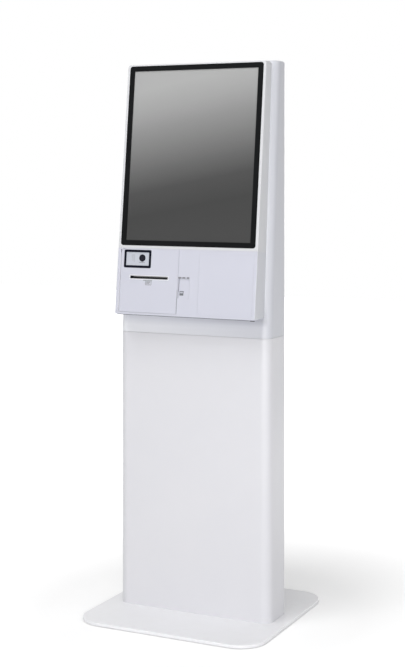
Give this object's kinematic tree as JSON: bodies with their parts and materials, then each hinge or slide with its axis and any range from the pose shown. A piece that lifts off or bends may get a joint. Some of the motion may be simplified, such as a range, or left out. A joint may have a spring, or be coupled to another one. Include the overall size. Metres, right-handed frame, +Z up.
{
  "type": "self-service ticket kiosk",
  "caption": "Floor-standing self-service ticket kiosk: slim pedestal on a floor plate, tilted head with upright touch screen, code scanner, hinged ticket printer door and card slot.",
  "frame": {"origin": "middle of the footprint, on the floor", "axes": "+Z up, the customer stands on the -Y side, +X to the customer's right"},
  "size_m": [0.545, 0.515, 1.54],
  "materials": {
    "floor_plate_paint": "fine-textured powder coat",
    "pad_rubber": "matt moulded rubber",
    "pedestal_paint": "satin powder coat",
    "rear_door_paint": "satin powder coat",
    "rear_cover_paint": "satin powder coat",
    "zinc_steel": "zinc-plated sheet and tube",
    "bolt_steel": "bright zinc",
    "hinge_steel": "satin nickel",
    "lock_chrome": "nickel-plated zinc casting",
    "supply_case": "folded aluminium case",
    "inlet_black": "moulded black plastic",
    "rocker_black": "moulded black plastic",
    "head_shell": "fine satin moulding",
    "front_shell": "fine satin moulding",
    "screen_frame": "black screen frame",
    "screen_glass": "dark touch glass, switched off",
    "screen_panel": "dark display panel",
    "scanner_frame": "black frame",
    "scanner_pane": "pale window",
    "scanner_lens": "black lens",
    "module_black": "moulded black plastic",
    "slot_plastic": "pale moulded plastic",
    "catch_plastic": "grey moulded plastic with magnet",
    "board_green": "green circuit board",
    "fan_black": "moulded black plastic",
    "roll_paper": "white ticket paper",
    "lid_plastic": "dark grey moulded plastic",
    "axle_steel": "turned steel",
    "platen_rubber": "ground rubber sleeve",
    "pinion_brass": "cut brass",
    "motor_can": "drawn steel can",
    "head_aluminium": "extruded aluminium",
    "cutter_plastic": "dark moulded plastic",
    "blade_steel": "ground steel"
  },
  "bodies": {
    "kiosk": {"base_plate": "floor_plate_paint", "floor_pads": "pad_rubber", "cable_grommet": "pad_rubber", "pedestal_shell": "pedestal_paint", "head_rear_cover": "rear_cover_paint", "upright_left": "zinc_steel", "upright_right": "zinc_steel", "foot_flanges": "zinc_steel", "tie_bars": "zinc_steel", "top_crossbar": "zinc_steel", "frame_plate": "zinc_steel", "display_rails": "zinc_steel", "printer_shelf": "zinc_steel", "printer_chassis": "zinc_steel", "gear_plate": "zinc_steel", "foot_bolts": "bolt_steel", "front_screws": "bolt_steel", "rear_cover_screws": "bolt_steel", "rear_hinge_pins": "bolt_steel", "lid_pivot_pin": "bolt_steel", "roll_spindle": "bolt_steel", "rear_hinge_leaves": "hinge_steel", "power_supply": "supply_case", "power_inlet": "inlet_black", "switch_frame": "inlet_black", "head_housing": "head_shell", "display_bezel": "front_shell", "lower_front_cover": "front_shell", "card_slot_bezel": "front_shell", "terminal_blank": "front_shell", "screen_ring": "screen_frame", "touch_glass": "screen_glass", "lcd_panel": "screen_panel", "card_reader_body": "module_black", "speakers": "module_black", "fan_housing": "module_black", "door_catch": "catch_plastic", "controller_board": "board_green", "drive_motor": "motor_can", "print_head": "head_aluminium", "cutter_frame": "cutter_plastic"},
    "ticket_door": {"ticket_door": "front_shell", "door_hinge_pins": "bolt_steel", "ticket_slot_bezel": "slot_plastic", "scanner_ring": "scanner_frame", "scanner_window": "scanner_pane", "scanner_lens": "scanner_lens", "scanner_body": "module_black"},
    "printer_lid": {"printer_lid": "lid_plastic"},
    "platen": {"platen_axle": "axle_steel", "platen_sleeve": "platen_rubber"},
    "motor_pinion": {"motor_pinion": "pinion_brass"},
    "paper_roll": {"paper_roll": "roll_paper"},
    "cutter_blade": {"cutter_blade": "blade_steel"},
    "fan_rotor": {"fan_rotor": "fan_black"},
    "rear_door": {"rear_door": "rear_door_paint", "rear_door_leaves": "hinge_steel", "rear_door_lock": "lock_chrome"},
    "lock_cam": {"lock_cam": "lock_chrome"},
    "power_rocker": {"rocker": "rocker_black"}
  },
  "joints": [
    {"name": "ticket_door_hinge", "type": "hinge", "parent": "kiosk", "child": "ticket_door", "pos_m": [-0.2, -0.11524, 0.89716], "axis": [0, -0.113, -0.9936], "range_deg": [0, 90]},
    {"name": "printer_lid_hinge", "type": "hinge", "parent": "kiosk", "child": "printer_lid", "pos_m": [-0.112, 0.018, 0.954], "axis": [-1, 0, 0], "range_deg": [0, 40]},
    {"name": "paper_roll_spin", "type": "hinge", "parent": "kiosk", "child": "paper_roll", "pos_m": [-0.112, -0.02, 0.884], "axis": [1, 0, 0], "continuous": true},
    {"name": "platen_spin", "type": "hinge", "parent": "printer_lid", "child": "platen", "pos_m": [-0.112, -0.062, 0.9487], "axis": [1, 0, 0], "continuous": true},
    {"name": "motor_pinion_spin", "type": "hinge", "parent": "kiosk", "child": "motor_pinion", "pos_m": [-0.0425, -0.062, 0.9359], "axis": [1, 0, 0], "continuous": true},
    {"name": "cutter_blade_slide", "type": "slide", "parent": "kiosk", "child": "cutter_blade", "axis": [0, 0, -1], "range_m": [0, 0.005]},
    {"name": "fan_spin", "type": "hinge", "parent": "kiosk", "child": "fan_rotor", "pos_m": [0.06, 0.035, 1.4], "axis": [0, 1, 0], "continuous": true},
    {"name": "rear_door_hinge", "type": "hinge", "parent": "kiosk", "child": "rear_door", "pos_m": [-0.211, 0.049, 0.412], "axis": [0, 0, 1], "range_deg": [0, 110]},
    {"name": "lock_cam_turn", "type": "hinge", "parent": "rear_door", "child": "lock_cam", "pos_m": [0.165, 0.033, 0.412], "axis": [0, 1, 0], "range_deg": [0, 90]},
    {"name": "power_rocker_tilt", "type": "hinge", "parent": "kiosk", "child": "power_rocker", "pos_m": [0.07, 0.04, 0.045], "axis": [1, 0, 0], "range_deg": [0, 16]}
  ],
  "couplings": [
    {"joint": "platen_spin", "follows": "paper_roll_spin", "ratio": -4.4286},
    {"joint": "motor_pinion_spin", "follows": "paper_roll_spin", "ratio": 7.381}
  ]
}
